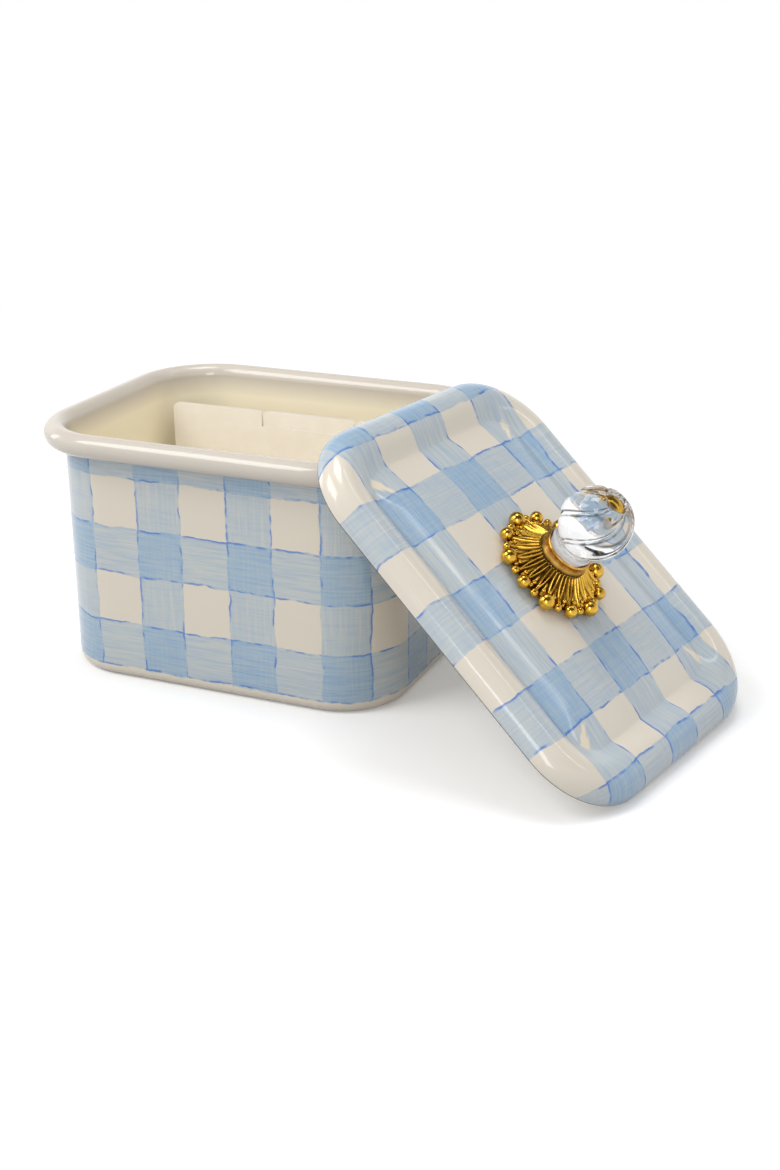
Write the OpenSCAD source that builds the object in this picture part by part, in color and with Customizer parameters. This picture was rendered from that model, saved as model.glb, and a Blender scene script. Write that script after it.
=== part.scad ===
// Recipe card box: an enamelled steel box with a rolled rim, its loose lid with
// a glass knob leaning on the rim, tabbed dividers and a pack of cards inside.
// Millimetres. Origin at the centre of the box's base, +X along the long side,
// +Y to the back, +Z up. The lid is drawn in its own frame, rim plane at z = 0,
// and then leaned on the box.

/* [Box] */
// Width over the rolled rim
rim_w = 190.5; // [178:0.5:205]
// Depth over the rolled rim
rim_d = 153.5; // [145:0.5:170]
// Height from the base to the top of the rim
box_h = 119.5; // [105:1:135]
// Thickness of the box's enamelled sheet
box_t = 1.2; // [0.8:0.1:1.8]
// Diameter of the rolled rim
roll_dia = 10.8; // [8:0.2:13]
// Outer radius of the box's upright corners
box_corner_r = 32; // [22:1:36]
// Outer radius where the walls turn into the base
base_r = 5; // [3:0.5:10]
// Gap between the end of the roll and the wall
roll_gap = 1.2; // [0.8:0.1:2]

/* [Lid] */
// Gap all round between the lid's skirt and the rolled rim
lid_fit = 1.1; // [0.8:0.1:2.5]
// Thickness of the lid's enamelled sheet
lid_t = 1.2; // [0.8:0.1:1.4]
// Outer radius of the lid's corners
lid_corner_r = 37; // [34:1:42]
// Height of the lid's raised crest
lid_h = 10.2; // [9.6:0.2:11]
// Straight part of the lid's skirt, above the edge
lid_skirt_h = 1.5; // [1.4:0.1:2.5]
// Width of the rounded shoulder, from the edge in to the crest
lid_shoulder_w = 10.5; // [9:0.5:12]
// Distance from the lid's edge in to the valley inside the crest
lid_valley_w = 23; // [20:0.5:26]
// Depth of the valley below the crest
lid_valley_depth = 4.6; // [3.6:0.1:5.2]
// Rise of the domed panel above the valley
lid_dome_h = 4.6; // [3:0.1:6]
// Height of the folded hem inside the skirt's edge
lid_hem_h = 1.2; // [0.8:0.1:1.4]
// Extra thickness of the folded hem
lid_hem_t = 0.5; // [0.3:0.1:0.8]

/* [How the lid leans] */
// Slope of the lid down to the right
lid_lean = 42; // [36:0.5:50]
// Turn of the lid about the vertical
lid_turn = -10.8; // [-14:0.1:-6]
// Small roll of the lid about its long axis
lid_roll = 0.8; // [0:0.1:3]
// Position of the lid's centre towards the back
lid_y = -37.1; // [-45:0.1:-25]
// Gap left between the lid, the rim it leans on and the floor
lean_gap = 0.3; // [0.2:0.1:0.6]

/* [Knob] */
// Radius of the ring that the rosette's beads lie on
bead_ring_r = 24.6; // [22:0.1:27]
// Radius of the large beads
bead_large_r = 3.7; // [3:0.1:4]
// Radius of the middle beads
bead_mid_r = 3; // [2.6:0.1:3.4]
// Radius of the small beads between them
bead_small_r = 1.9; // [1.5:0.1:2.3]
// Number of large beads, with as many middle beads between them
bead_pairs = 6; // [5:1:7]
// Height of the beads' centres above the lid's panel
bead_z = 3.7; // [3.4:0.1:4.2]
// Height of the rosette
rosette_h = 10.8; // [9:0.2:13]
// Radius of the rosette's neck, under the collar
neck_r = 11.4; // [10:0.2:12]
// Number of ridges round the rosette
ridges = 48; // [36:12:60]
// Height of the collar ring
collar_h = 5.2; // [4:0.2:7]
// Radius of the glass knob's foot
foot_r = 10.2; // [9:0.2:11]
// Thickness of the foot that shows above the collar
foot_h = 2.4; // [2:0.2:3.4]
// Radius of the glass ball across the axis
glass_r = 16; // [14:0.2:18]
// Height of the glass ball along the axis
glass_h = 28.6; // [26:0.2:31]
// Length of the waist between the foot and the ball
waist_h = 1.4; // [1:0.1:2]
// Number of lobes twisted round the glass ball
glass_lobes = 6; // [5:1:8]
// Turn of the lobes from the foot to the tip, in degrees
glass_twist = 100; // [60:5:140]
// Depth of the grooves between the lobes
groove_depth = 1; // [0.5:0.1:1.4]
// Radius of the metal tip on the glass
tip_r = 5; // [4:0.1:6]
// Height of the metal tip
tip_h = 1.8; // [1.4:0.1:2.4]
// Depth of the hollow in the glass that the tip sits in
tip_hollow = 1.8; // [1:0.1:2.4]
// Radius of the threaded stud
stud_r = 2; // [1.5:0.25:2.5]
// Radial gap round the stud in the parts it passes through
stud_fit = 0.2; // [0.1:0.05:0.3]

/* [Dividers and cards] */
// Width of a divider and of a card
card_w = 152.4; // [148:0.2:153]
// Height of a divider, without its tab
divider_h = 96.4; // [90:0.2:98]
// Height of a divider's tab
tab_h = 7.4; // [6:0.2:9]
// Radius of the tab's top corners
tab_r = 3; // [1:0.5:4]
// Thickness of a divider
divider_t = 0.4; // [0.3:0.05:0.5]
// Gap between one divider and the next
divider_gap = 0.35; // [0.3:0.05:0.6]
// Number of tab positions across a divider
tab_places = 3; // [3:1:5]
// Front face of the first divider, behind the box's centre
divider_y = 39; // [-20:1:44]
// Gap between the paper and the floor of the box
paper_gap = 0.3; // [0.2:0.1:0.5]
// Height of a card
card_h = 98; // [90:0.2:101.6]
// Thickness of a card
card_t = 0.3; // [0.2:0.05:0.4]
// Gap between one card and the next
card_gap = 0.15; // [0.1:0.05:0.2]
// Number of cards in the pack
cards = 14; // [6:1:18]
// Radius of a card's corners
card_corner_r = 3; // [1:0.5:5]

/* [Hidden] */
NODES = [
    "box_body", "lid_shell", "knob_rosette", "knob_collar", "knob_glass",
    "knob_tip", "knob_stud", "knob_washer", "knob_nut",
    "divider_1", "divider_2", "divider_3", "divider_4", "divider_5", "divider_6",
    "recipe_cards"
];

$fn = 96;
cream = "#e6ddcc";
pale_blue = "#b4c6cc";
gold = "#c99a2e";
paper = "#e9ddc8";

// Box: the roll's inner side is flush with the inside of the wall
roll_r = roll_dia / 2;
wall_out = roll_dia - box_t;
wall_w = rim_w - 2 * wall_out;
wall_d = rim_d - 2 * wall_out;
roll_x = box_corner_r - box_t + roll_r;
roll_z = box_h - roll_r;
rim_corner_r = box_corner_r + wall_out;
// Angle below the horizontal at which the roll stops short of the wall
roll_end = acos((roll_r - box_t - roll_gap) / roll_r);

// Lid
lid_w = rim_w + 2 * (lid_fit + lid_t);
lid_d = rim_d + 2 * (lid_fit + lid_t);
valley_z = lid_h - lid_valley_depth;
seat_share = 0.2;
crest_turn = 135;
seat_z = valley_z + panel_rise(seat_share);
corner_steps = 9;
shoulder_steps = 8;
crest_steps = 8;
dome_steps = 8;

// Knob, from the seat on the lid's panel upwards
flange_r = bead_ring_r - 0.8;
ridge_low_r = bead_ring_r - 4.1;
ridge_low_z = bead_z + 0.4;
ridge_top_r = neck_r + 0.1;
ridge_top_z = rosette_h - 0.5;
ridge_narrow_r = 0.5;
ridge_wide_r = 1.1;
collar_z = rosette_h;
collar_lip_r = neck_r + 0.4;
collar_lip_h = 1.4;
spigot_r = foot_r - 1.4;
spigot_depth = 2.6;
foot_z = collar_z + collar_h + 0.4;
waist_r = foot_r - 1.6;
ball_z = foot_z + foot_h + waist_h;
ball_top = ball_z + glass_h;
hollow_r = tip_r + 1.2;
tip_z = ball_top - tip_hollow;
lobe_points = 10;
ball_levels = 22;
stud_top = collar_z + collar_h - spigot_depth - 0.5;
washer_t = 0.8;
washer_r = 6;
nut_af = 7;
nut_t = 3.2;
stud_end = 1.2;
under_seat = seat_z - lid_t;

// Dividers and cards
floor_z = box_t + paper_gap;
divider_step = divider_t + divider_gap;
dividers = len([for (name = NODES) if (name[0] == "d") name]);
cards_y = divider_y + dividers * divider_step + 0.5;

// Lean: the lid's lowest edge clears the floor by the gap
lean_x = sin(lid_lean);
lean_y = cos(lid_lean) * sin(lid_roll);
lean_len = norm([lean_x, lean_y]);
lid_z = lean_gap + lean_x * (lid_w / 2 - lid_corner_r)
    + lean_y * (lid_d / 2 - lid_corner_r) + lid_corner_r * lean_len;
lid_up = [
    cos(lid_turn) * sin(lid_lean) * cos(lid_roll) + sin(lid_turn) * sin(lid_roll),
    sin(lid_turn) * sin(lid_lean) * cos(lid_roll) - cos(lid_turn) * sin(lid_roll),
    cos(lid_lean) * cos(lid_roll)
];
lid_along = [cos(lid_turn) * cos(lid_lean), sin(lid_turn) * cos(lid_lean), -sin(lid_lean)];
lid_across = cross(lid_up, lid_along);

// Middle of the roll round the front right corner, where the lid rests on it
roll_path_r = rim_corner_r - roll_r;
roll_path = [for (turn = [-90 : 3 : 0]) [
    rim_w / 2 - rim_corner_r + roll_path_r * cos(turn),
    rim_corner_r - rim_d / 2 + roll_path_r * sin(turn),
    roll_z
]];
lid_x = settled_x(rim_w / 2 + lid_w / 4, 8);

// Position of the lid at which its underside clears the roll by the gap
function settled_x(x, tries) = tries == 0 ? x : settled_x(x - min([
    for (p = roll_path) let (q = p - [x, lid_y, lid_z])
        under_lid(abs(q * lid_along), abs(q * lid_across)) - q * lid_up - roll_r - lean_gap
]) / lid_up[0], tries - 1);

// Height of the lid's underside at a and b from its centre, in its own frame
function under_lid(a, b) = let (
    u = edge_distance(lid_w / 2 - a, lid_d / 2 - b),
    k = dome_share(a, b)
) u >= lid_valley_w ? valley_z + panel_rise(k) - lid_t
    : u < lid_t ? 0
    : lookup(u, [for (p = lid_profile()) if (p[1] > 0) [p[0] + lid_t * sin(p[2]), p[1] - lid_t * cos(p[2])]]);

// Distance in from the lid's rounded edge, from the distances to its two sides
function edge_distance(p, q) = max(p, q) >= lid_corner_r || min(p, q) >= lid_corner_r
    ? min(p, q) : lid_corner_r - norm([lid_corner_r - p, lid_corner_r - q]);

// Share of the valley's loop on which a point of the domed panel lies
function dome_share(a, b) = let (
    half_a = lid_w / 2 - lid_valley_w,
    half_b = lid_d / 2 - lid_valley_w,
    r = lid_corner_r - lid_valley_w,
    side = max(a / half_a, b / half_b),
    c = [half_a - r, half_b - r],
    m = c * c - r * r,
    n = c * [a, b]
) a > side * c[0] && b > side * c[1]
    ? (n - sqrt(max(0, n * n - m * (a * a + b * b)))) / m : side;

// Points of an arc about c, from angle a0 to a1
function arc(c, r, a0, a1, steps) = [
    for (i = [0 : steps]) let (a = a0 + (a1 - a0) * i / steps)
        [c[0] + r * cos(a), c[1] + r * sin(a)]
];

// One loop of a rounded rectangle with half sizes a and b, at height z
function rounded_loop(a, b, r, z) = [
    for (corner = [0 : 3]) for (i = [0 : corner_steps])
        let (turn = 90 * corner + 90 * i / corner_steps,
             sx = (corner == 0 || corner == 3) ? 1 : -1,
             sy = corner < 2 ? 1 : -1)
        [sx * (a - r) + r * cos(turn), sy * (b - r) + r * sin(turn), z]
];

// Side faces between equal loops, the end caps, and for a shell its last loop
function loop_faces(n, loops) = [
    for (k = [0 : loops - 2]) for (i = [0 : n - 1]) let (j = (i + 1) % n)
        each [[k * n + i, (k + 1) * n + i, (k + 1) * n + j], [k * n + i, (k + 1) * n + j, k * n + j]]
];

module loft(loops) {
    n = len(loops[0]);
    last = (len(loops) - 1) * n;
    polyhedron(
        points = [for (l = loops) each l],
        faces = concat(
            loop_faces(n, len(loops)),
            [[for (i = [0 : n - 1]) i]],
            [[for (i = [n - 1 : -1 : 0]) last + i]]
        )
    );
}

// Places the lid, and all that is fixed to it, leaning on the box
module leaned() {
    translate([lid_x, lid_y, lid_z]) rotate([lid_roll, lid_lean, lid_turn]) children();
}

// Places the knob's parts on the seat in the middle of the lid
module on_seat() {
    leaned() translate([0, 0, seat_z]) children();
}

// Section of the box, from a corner's centre line out to the wall and the roll
module box_section() {
    square([box_corner_r - base_r, box_t]);
    intersection() {
        translate([box_corner_r - base_r, base_r]) difference() {
            circle(r = base_r);
            circle(r = base_r - box_t);
        }
        translate([box_corner_r - base_r, 0]) square([base_r, base_r]);
    }
    translate([box_corner_r - box_t, base_r]) square([box_t, roll_z - base_r]);
    translate([roll_x, roll_z]) difference() {
        circle(r = roll_r);
        circle(r = roll_r - box_t);
        polygon([
            [0, 0],
            [-2 * roll_r, 0],
            [-2 * roll_r, -2 * roll_r],
            2 * roll_r * [-cos(roll_end), -sin(roll_end)]
        ]);
    }
}

// Sweeps the section round the four corners and along the four sides
module box_body() {
    half_x = wall_w / 2 - box_corner_r;
    half_y = wall_d / 2 - box_corner_r;
    color(cream) union() {
        for (sx = [-1, 1], sy = [-1, 1]) {
            start = sx > 0 ? (sy > 0 ? 0 : 270) : (sy > 0 ? 90 : 180);
            translate([sx * half_x, sy * half_y, 0]) rotate([0, 0, start])
                rotate_extrude(angle = 90) box_section();
        }
        for (side = [0, 180]) rotate([0, 0, side]) {
            translate([half_x, half_y, 0]) rotate([90, 0, 0])
                linear_extrude(2 * half_y) box_section();
            translate([-half_x, half_y, 0]) rotate([90, 0, 90])
                linear_extrude(2 * half_x) box_section();
        }
        translate([-half_x, -half_y, 0]) cube([2 * half_x, 2 * half_y, box_t]);
    }
}

// Outer profile of the lid as [distance in from the edge, height, slope angle]
function lid_profile() = concat(
    [[0, 0, 90], [0, lid_skirt_h, 90]],
    [for (i = [1 : shoulder_steps]) let (a = 90 * i / shoulder_steps) [
        lid_shoulder_w * (1 - cos(a)),
        lid_skirt_h + (lid_h - lid_skirt_h) * sin(a),
        atan2((lid_h - lid_skirt_h) * cos(a), lid_shoulder_w * sin(a))
    ]],
    [for (i = [1 : crest_steps]) let (
        s = crest_turn * i / crest_steps,
        fall = lid_valley_depth / (1 - cos(crest_turn))
    ) [
        lid_shoulder_w + (lid_valley_w - lid_shoulder_w) * i / crest_steps,
        lid_h - fall * (1 - cos(s)),
        -atan(fall * sin(s) * crest_turn / (lid_valley_w - lid_shoulder_w) * PI / 180)
    ]]
);

// Rise of the domed panel above the valley, on the share k of the valley's loop
function panel_rise(k) = lid_dome_h * (1 - pow(k, 4));

// One loop of the lid's profile, moved inwards by the depth of sheet t
function lid_loop(p, t) = let (u = p[0] + t * sin(p[2]))
    rounded_loop(lid_w / 2 - u, lid_d / 2 - u, lid_corner_r - u, p[1] - t * cos(p[2]));

// One loop of the domed panel, shrunk to the share k of the valley's loop
function dome_loop(k, t) = rounded_loop(
    k * (lid_w / 2 - lid_valley_w), k * (lid_d / 2 - lid_valley_w),
    k * (lid_corner_r - lid_valley_w), valley_z + panel_rise(k) - t
);

function lid_loops() = let (
    outer = lid_profile(),
    count = len(outer),
    shares = [for (i = [1 : dome_steps]) 1 - (1 - seat_share) * i / dome_steps],
    hem_u = lid_t + lid_hem_t
) concat(
    [for (i = [dome_steps - 1 : -1 : 0]) dome_loop(shares[i], lid_t)],
    [for (i = [count - 1 : -1 : 1]) lid_loop(outer[i], lid_t)],
    [for (step = [[lid_t, lid_hem_h], [hem_u, lid_hem_h], [hem_u, 0]])
        rounded_loop(lid_w / 2 - step[0], lid_d / 2 - step[0], lid_corner_r - step[0], step[1])],
    [for (p = outer) lid_loop(p, 0)],
    [for (k = shares) dome_loop(k, 0)]
);

module lid_shell() {
    color(pale_blue) leaned() difference() {
        loft(lid_loops());
        translate([0, 0, under_seat - 1]) cylinder(r = stud_r + stud_fit, h = lid_t + 2);
    }
}

// Flared rosette: a revolved flange under radiating ridges, edged with beads
module knob_rosette() {
    ridge_run = ridge_low_r - ridge_top_r;
    ridge_rise = ridge_top_z - ridge_low_z;
    color(gold) on_seat() difference() {
        union() {
            rotate_extrude() polygon(concat(
                [[0, 0], [ridge_low_r, 0], [flange_r, bead_z - 1.2], [flange_r, bead_z + 0.6]],
                [[ridge_low_r, ridge_low_z], [ridge_top_r, ridge_top_z], [neck_r, rosette_h], [0, rosette_h]]
            ));
            for (i = [0 : ridges - 1]) rotate([0, 0, 360 * i / ridges])
                translate([ridge_top_r, 0, ridge_top_z])
                    rotate([0, 90 + atan2(ridge_rise, ridge_run), 0])
                        cylinder(r1 = ridge_narrow_r, r2 = ridge_wide_r, h = norm([ridge_run, ridge_rise]) + 1, $fn = 24);
            for (i = [0 : 2 * bead_pairs - 1]) rotate([0, 0, 180 * i / bead_pairs]) {
                translate([bead_ring_r, 0, bead_z]) sphere(r = i % 2 == 0 ? bead_large_r : bead_mid_r, $fn = 48);
                rotate([0, 0, 90 / bead_pairs]) translate([bead_ring_r - 0.6, 0, bead_z - 0.6])
                    sphere(r = bead_small_r, $fn = 32);
            }
        }
        translate([0, 0, -1]) cylinder(r = stud_r + stud_fit, h = rosette_h + 2);
    }
}

// Collar ring: a plain cup that holds the foot of the glass
module knob_collar() {
    color(gold) on_seat() translate([0, 0, collar_z]) rotate_extrude() difference() {
        union() {
            square([collar_lip_r, collar_lip_h]);
            polygon(concat(
                [[0, 0]],
                arc([neck_r - 0.5, collar_lip_h], 1, -60, 60, 6),
                [[neck_r - 0.2, collar_h - 0.8]],
                arc([neck_r - 0.9, collar_h - 0.7], 0.7, 0, 90, 4),
                [[0, collar_h]]
            ));
        }
        translate([0, collar_h - spigot_depth]) square([spigot_r + 0.1, spigot_depth + 1]);
        translate([0, -1]) square([stud_r + stud_fit, collar_h]);
    }
}

// Radius of the twisted glass ball at angle a and share s of its height
function ball_radius(a, s) = let (
    round_r = glass_r * sqrt(max(0, 1 - pow(2 * s - 1, 2))),
    base_share = waist_r / glass_r,
    groove = groove_depth * pow(abs(cos(glass_lobes * (a - glass_twist * s) / 2)), 6)
) max(round_r - groove * min(1, round_r / glass_r * 1.4), 0);

// Shares of the ball's height where it meets the waist and the hollow for the tip
ball_low = (1 - sqrt(1 - pow(waist_r / glass_r, 2))) / 2;
ball_high = 1 - (1 - sqrt(1 - pow(hollow_r / glass_r, 2))) / 2;

// Radius and height of the spigot, the foot and the waist, from the bottom up
function foot_profile() = concat(
    [[spigot_r, foot_z - spigot_depth - 0.3], [spigot_r, foot_z]],
    [for (p = arc([foot_r - foot_h / 2, foot_h / 2], foot_h / 2, -90, 90, 8)) [p[0], foot_z + p[1]]],
    [[waist_r, foot_z + foot_h + waist_h / 2]]
);

// Radius and height of the hollow, from its rounded lip down to the seat of the tip
function hollow_profile() = [[hollow_r - 0.5, ball_top], [tip_r + 0.3, ball_top - 0.5], [tip_r + 0.1, tip_z]];

// One piece: spigot, foot, waist, the ball with its lobes and the hollow in its top
module knob_glass() {
    n = glass_lobes * lobe_points;
    scale_z = glass_h / (ball_high - ball_low);
    turned = [for (profile = [foot_profile(), hollow_profile()]) [for (p = profile)
        [for (i = [0 : n - 1]) let (a = 360 * i / n) [p[0] * cos(a), p[0] * sin(a), p[1]]]]];
    ball_loops = [for (k = [0 : ball_levels]) let (
        s = ball_low + (ball_high - ball_low) * (1 - cos(180 * k / ball_levels)) / 2)
        [for (i = [0 : n - 1]) let (a = 360 * i / n, r = ball_radius(a, s))
            [r * cos(a), r * sin(a), ball_z + (s - ball_low) * scale_z]]];
    color("white", 0.5) on_seat() loft(concat(turned[0], ball_loops, turned[1]));
}

// Shallow domed button in the hollow at the top of the glass
module knob_tip() {
    dome_r = (tip_r * tip_r + tip_h * tip_h) / (2 * tip_h);
    color(gold) on_seat() translate([0, 0, tip_z]) intersection() {
        translate([0, 0, tip_h - dome_r]) sphere(r = dome_r);
        cylinder(r = tip_r, h = tip_h);
    }
}

// Stud that ties the collar, the rosette and the lid together
module knob_stud() {
    color("silver") leaned() translate([0, 0, stud_end])
        cylinder(r = stud_r, h = seat_z + stud_top - stud_end);
}

module knob_washer() {
    color("silver") leaned() translate([0, 0, under_seat - washer_t]) difference() {
        cylinder(r = washer_r, h = washer_t);
        translate([0, 0, -1]) cylinder(r = stud_r + stud_fit, h = washer_t + 2);
    }
}

module knob_nut() {
    color("silver") leaned() translate([0, 0, under_seat - washer_t - nut_t]) difference() {
        cylinder(r = nut_af / sqrt(3), h = nut_t, $fn = 6);
        translate([0, 0, -1]) cylinder(r = stud_r + 0.02, h = nut_t + 2);
    }
}

// One divider with its tab in the given place, counted from the left
module divider(index) {
    tab_w = card_w / tab_places;
    place = (index - 1) % tab_places;
    color(paper) translate([-card_w / 2, divider_y + (index - 1) * divider_step + divider_t, floor_z])
        rotate([90, 0, 0]) linear_extrude(divider_t) {
            square([card_w, divider_h]);
            translate([place * tab_w, divider_h - 1]) {
                square([tab_w, tab_h - tab_r + 1]);
                translate([tab_r, 0]) square([tab_w - 2 * tab_r, tab_h + 1]);
                for (x = [tab_r, tab_w - tab_r]) translate([x, tab_h - tab_r + 1]) circle(r = tab_r);
            }
        }
}

module recipe_cards() {
    color("white") for (i = [0 : cards - 1])
        translate([-card_w / 2, cards_y + i * (card_t + card_gap) + card_t, floor_z])
            rotate([90, 0, 0]) linear_extrude(card_t) {
                translate([card_corner_r, 0]) square([card_w - 2 * card_corner_r, card_h]);
                translate([0, card_corner_r]) square([card_w, card_h - 2 * card_corner_r]);
                for (x = [card_corner_r, card_w - card_corner_r], z = [card_corner_r, card_h - card_corner_r])
                    translate([x, z]) circle(r = card_corner_r);
            }
}

box_body();
lid_shell();
knob_rosette();
knob_collar();
knob_glass();
knob_tip();
knob_stud();
knob_washer();
knob_nut();
divider(1);  // divider_1
divider(2);  // divider_2
divider(3);  // divider_3
divider(4);  // divider_4
divider(5);  // divider_5
divider(6);  // divider_6
recipe_cards();
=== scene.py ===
"""Recipe card box with its lid leaning on it, dressed for its picture.

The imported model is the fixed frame. The pressed shells, the cast rosette, its
collar and the glass ball are modelled again here with finer surfaces, in the
places where their solids stand, and every piece gets a procedural finish.
Sizes of pieces are in millimetres and are turned into metres where a mesh is made.
"""

import logging
import math
from dataclasses import dataclass
from enum import Enum
from typing import Callable, Dict, List, Optional, Sequence, Tuple, Union

import bpy
from mathutils import Matrix, Vector


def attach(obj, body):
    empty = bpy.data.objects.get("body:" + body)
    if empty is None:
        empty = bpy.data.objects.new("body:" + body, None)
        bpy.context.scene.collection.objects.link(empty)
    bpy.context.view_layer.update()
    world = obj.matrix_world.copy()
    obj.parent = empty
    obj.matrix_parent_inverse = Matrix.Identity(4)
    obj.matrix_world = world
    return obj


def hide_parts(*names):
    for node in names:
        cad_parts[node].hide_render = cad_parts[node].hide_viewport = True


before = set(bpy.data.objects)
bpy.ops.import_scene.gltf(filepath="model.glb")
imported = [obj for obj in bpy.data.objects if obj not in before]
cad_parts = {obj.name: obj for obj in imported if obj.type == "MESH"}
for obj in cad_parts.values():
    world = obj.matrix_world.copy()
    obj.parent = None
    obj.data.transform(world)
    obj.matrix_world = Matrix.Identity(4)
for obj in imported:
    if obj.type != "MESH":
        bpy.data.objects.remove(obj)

MM = 0.001
TINY = 1e-4
MERGE_WITHIN = 0.01 * MM
SPIN_AXIS = (0, 0, -1)
NODE_STEP = (180, -220)
NODES_ACROSS = 12
LOG = logging.getLogger("recipe_box")
Point2 = Tuple[float, float]
Point3 = Tuple[float, float, float]
Colour = Tuple[float, float, float, float]
Socket = bpy.types.NodeSocket
Value = Union[float, Socket]
Feeds = Dict[Union[str, int], object]


def linear(red: int, green: int, blue: int) -> Colour:
    """Turns a colour as it is seen, 0 to 255, into the linear one a shader takes.

    Args:
        red: Red part.
        green: Green part.
        blue: Blue part.

    Returns:
        The linear colour with full alpha.
    """
    parts = []
    for part in (red, green, blue):
        share = part / 255
        parts.append(share / 12.92 if share <= 0.04045 else ((share + 0.055) / 1.055) ** 2.4)
    return (parts[0], parts[1], parts[2], 1.0)


def clamp(value: float, low: float, high: float) -> float:
    """Keeps a value from low to high."""
    return max(low, min(high, value))


def smooth_share(low: float, high: float, value: float) -> float:
    """Gives a smooth step from 0 at low to 1 at high.

    Args:
        low: Value at which the step starts.
        high: Value at which it ends.
        value: Value to place between them.

    Returns:
        The share from 0 to 1.
    """
    share = clamp((value - low) / (high - low), 0.0, 1.0)
    return share * share * (3 - 2 * share)


def in_mm(spot: Vector) -> Point3:
    """Gives a point's three coordinates in millimetres."""
    return (spot.x / MM, spot.y / MM, spot.z / MM)


def arc_points(x: float, z: float, radius: float, start: float, end: float, steps: int) -> List[Point2]:
    """Gives points along an arc.

    Args:
        x: Centre across.
        z: Centre up.
        radius: Radius.
        start: First angle in degrees.
        end: Last angle in degrees.
        steps: Number of steps.

    Returns:
        The points.
    """
    turns = [math.radians(start + (end - start) * i / steps) for i in range(steps + 1)]
    return [(x + radius * math.cos(turn), z + radius * math.sin(turn)) for turn in turns]


def start_alone(obj: Optional[bpy.types.Object] = None) -> None:
    """Leaves edit mode and selects one object only, or none.

    Args:
        obj: The object to select and make active.
    """
    if bpy.context.object is not None and bpy.context.object.mode != "OBJECT":
        bpy.ops.object.mode_set(mode="OBJECT")
    bpy.ops.object.select_all(action="DESELECT")
    if obj is not None:
        obj.select_set(True)
        bpy.context.view_layer.objects.active = obj


def edit_mode(selected: bool = True) -> None:
    """Enters edit mode with everything selected, or nothing.

    Args:
        selected: Whether all of the mesh is selected.
    """
    bpy.ops.object.mode_set(mode="EDIT")
    bpy.ops.mesh.select_all(action="SELECT" if selected else "DESELECT")


def select_open_edges() -> None:
    """Selects the boundary edges of the mesh in edit mode, and nothing else."""
    bpy.ops.mesh.select_all(action="DESELECT")
    bpy.ops.mesh.select_mode(type="EDGE")
    bpy.ops.mesh.select_non_manifold(
        extend=False, use_wire=False, use_boundary=True,
        use_multi_face=False, use_non_contiguous=False, use_verts=False,
    )


def extrude_by(step: Sequence[float]) -> None:
    """Extrudes what is selected and moves the new part.

    Args:
        step: The move in metres.
    """
    bpy.ops.mesh.extrude_region_move(TRANSFORM_OT_translate={"value": tuple(step)})


def drawn_chain(name: str, points: Sequence[Point2]) -> bpy.types.Object:
    """Draws an open chain of edges in the XZ plane, one extruded point at a time.

    Args:
        name: Name of the new object.
        points: Distance from the Z axis and height of each point, in millimetres.

    Returns:
        The object, in edit mode with all of it selected.
    """
    start_alone()
    bpy.ops.mesh.primitive_plane_add(size=MM, location=(0, 0, 0))
    obj = bpy.context.object
    obj.name = name
    obj.data.name = name
    edit_mode()
    bpy.ops.mesh.select_mode(type="VERT")
    bpy.ops.mesh.merge(type="CENTER")
    bpy.ops.transform.translate(value=(points[0][0] * MM, 0, points[0][1] * MM))
    for before, after in zip(points, points[1:]):
        extrude_by(((after[0] - before[0]) * MM, 0, (after[1] - before[1]) * MM))
    bpy.ops.mesh.select_all(action="SELECT")
    return obj


def close_surface(obj: bpy.types.Object, fill: bool = False) -> None:
    """Merges doubles, fills open loops if asked, and points the faces outwards.

    Args:
        obj: The object, in edit mode or out of it.
        fill: Whether the boundary loops are filled.
    """
    start_alone(obj)
    edit_mode()
    bpy.ops.mesh.remove_doubles(threshold=MERGE_WITHIN)
    if fill:
        select_open_edges()
        bpy.ops.mesh.fill_holes(sides=0)
        bpy.ops.mesh.select_mode(type="VERT")
    bpy.ops.mesh.select_all(action="SELECT")
    bpy.ops.mesh.normals_make_consistent(inside=False)
    bpy.ops.object.mode_set(mode="OBJECT")
    bpy.ops.object.shade_smooth()


def turned(name: str, points: Sequence[Point2], steps: int) -> bpy.types.Object:
    """Spins a chain once round the Z axis.

    Args:
        name: Name of the new object.
        points: Radius and height of each point of the chain, in millimetres.
        steps: Number of steps of the full turn.

    Returns:
        The turned object, in object mode.
    """
    obj = drawn_chain(name, points)
    bpy.ops.mesh.spin(steps=steps, angle=2 * math.pi, center=(0, 0, 0), axis=SPIN_AXIS)
    close_surface(obj)
    return obj


def swept(
    name: str, points: Sequence[Point2], half: Point2, corner_steps: int, side_steps: int,
) -> bpy.types.Object:
    """Sweeps a chain along the four sides and round the four corners.

    Args:
        name: Name of the new object.
        points: Distance out from the corners' axes and height, in millimetres.
        half: Half the distance between the corners' axes, along X and along Y.
        corner_steps: Steps round each corner.
        side_steps: Steps along each side.

    Returns:
        The swept object, in edit mode.
    """
    half_x, half_y = half
    obj = drawn_chain(name, points)
    bpy.ops.transform.translate(value=(half_x * MM, -half_y * MM, 0))
    sides = (
        ((0, 2 * half_y), (half_x, half_y)),
        ((-2 * half_x, 0), (-half_x, half_y)),
        ((0, -2 * half_y), (-half_x, -half_y)),
        ((2 * half_x, 0), (half_x, -half_y)),
    )
    for run, corner in sides:
        for _ in range(side_steps):
            extrude_by((run[0] * MM / side_steps, run[1] * MM / side_steps, 0))
        centre = (corner[0] * MM, corner[1] * MM, 0)
        bpy.ops.mesh.spin(steps=corner_steps, angle=math.pi / 2, center=centre, axis=SPIN_AXIS)
    return obj


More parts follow.
